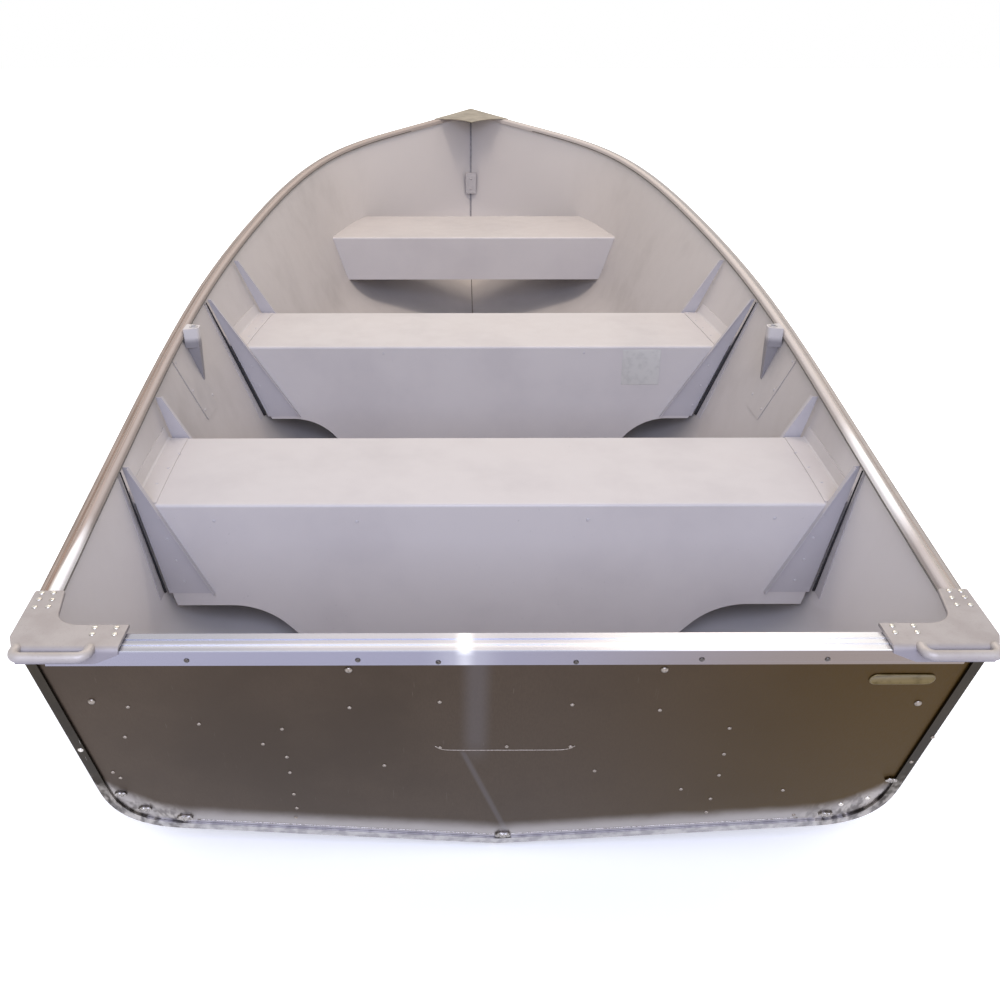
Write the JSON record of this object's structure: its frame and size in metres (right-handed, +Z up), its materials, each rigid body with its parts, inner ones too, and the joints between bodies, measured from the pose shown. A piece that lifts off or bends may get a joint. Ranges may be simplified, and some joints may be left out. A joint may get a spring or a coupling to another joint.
{
  "type": "rowing boat",
  "caption": "Riveted aluminium rowing boat with a raked transom, bench seats on knees, oarlock sockets, corner handles and a pointed bow with a small plate.",
  "frame": {"origin": "on the floor under the middle of the boat's overall length and beam", "axes": "+X to starboard, +Y towards the bow, +Z up"},
  "size_m": [1.4744, 3.7339, 0.7414],
  "materials": {
    "hull_paint": "satin",
    "seat_paint": "satin",
    "knee_paint": "satin",
    "bright_rail": "polished",
    "bright_cap": "polished",
    "cast_alloy": "satin",
    "bare_sheet": "mill finish",
    "core_board": "sealed",
    "eye_steel": "polished"
  },
  "bodies": {
    "root": {"bow_eye": "eye_steel", "bow_eye_backing": "cast_alloy", "bow_plate": "cast_alloy", "bow_seat": "seat_paint", "corner_casting_port": "cast_alloy", "corner_casting_starboard": "cast_alloy", "end_strip_thwart_aft_port": "knee_paint", "end_strip_thwart_aft_starboard": "knee_paint", "end_strip_thwart_mid_port": "knee_paint", "end_strip_thwart_mid_starboard": "knee_paint", "floor_rib_1": "hull_paint", "floor_rib_2": "hull_paint", "floor_rib_3": "hull_paint", "floor_rib_4": "hull_paint", "floor_rib_5": "hull_paint", "gunwale_port": "bright_rail", "gunwale_starboard": "bright_rail", "hull_port": "hull_paint", "hull_starboard": "hull_paint", "keel": "bare_sheet", "knee_thwart_aft_aft_port": "knee_paint", "knee_thwart_aft_aft_starboard": "knee_paint", "knee_thwart_aft_fore_port": "knee_paint", "knee_thwart_aft_fore_starboard": "knee_paint", "knee_thwart_mid_aft_port": "knee_paint", "knee_thwart_mid_aft_starboard": "knee_paint", "knee_thwart_mid_fore_port": "knee_paint", "knee_thwart_mid_fore_starboard": "knee_paint", "oarlock_doubler_port": "hull_paint", "oarlock_doubler_starboard": "hull_paint", "oarlock_socket_port": "cast_alloy", "oarlock_socket_starboard": "cast_alloy", "stem_band": "bare_sheet", "strake_port_inner": "bare_sheet", "strake_port_outer": "bare_sheet", "strake_starboard_inner": "bare_sheet", "strake_starboard_outer": "bare_sheet", "thwart_aft": "seat_paint", "thwart_mid": "seat_paint", "transom_cap": "bright_cap", "transom_core": "core_board", "transom_knee_port": "hull_paint", "transom_knee_starboard": "hull_paint", "transom_liner": "hull_paint", "transom_rim": "bare_sheet", "transom_skin": "bare_sheet"}
  },
  "joints": []
}
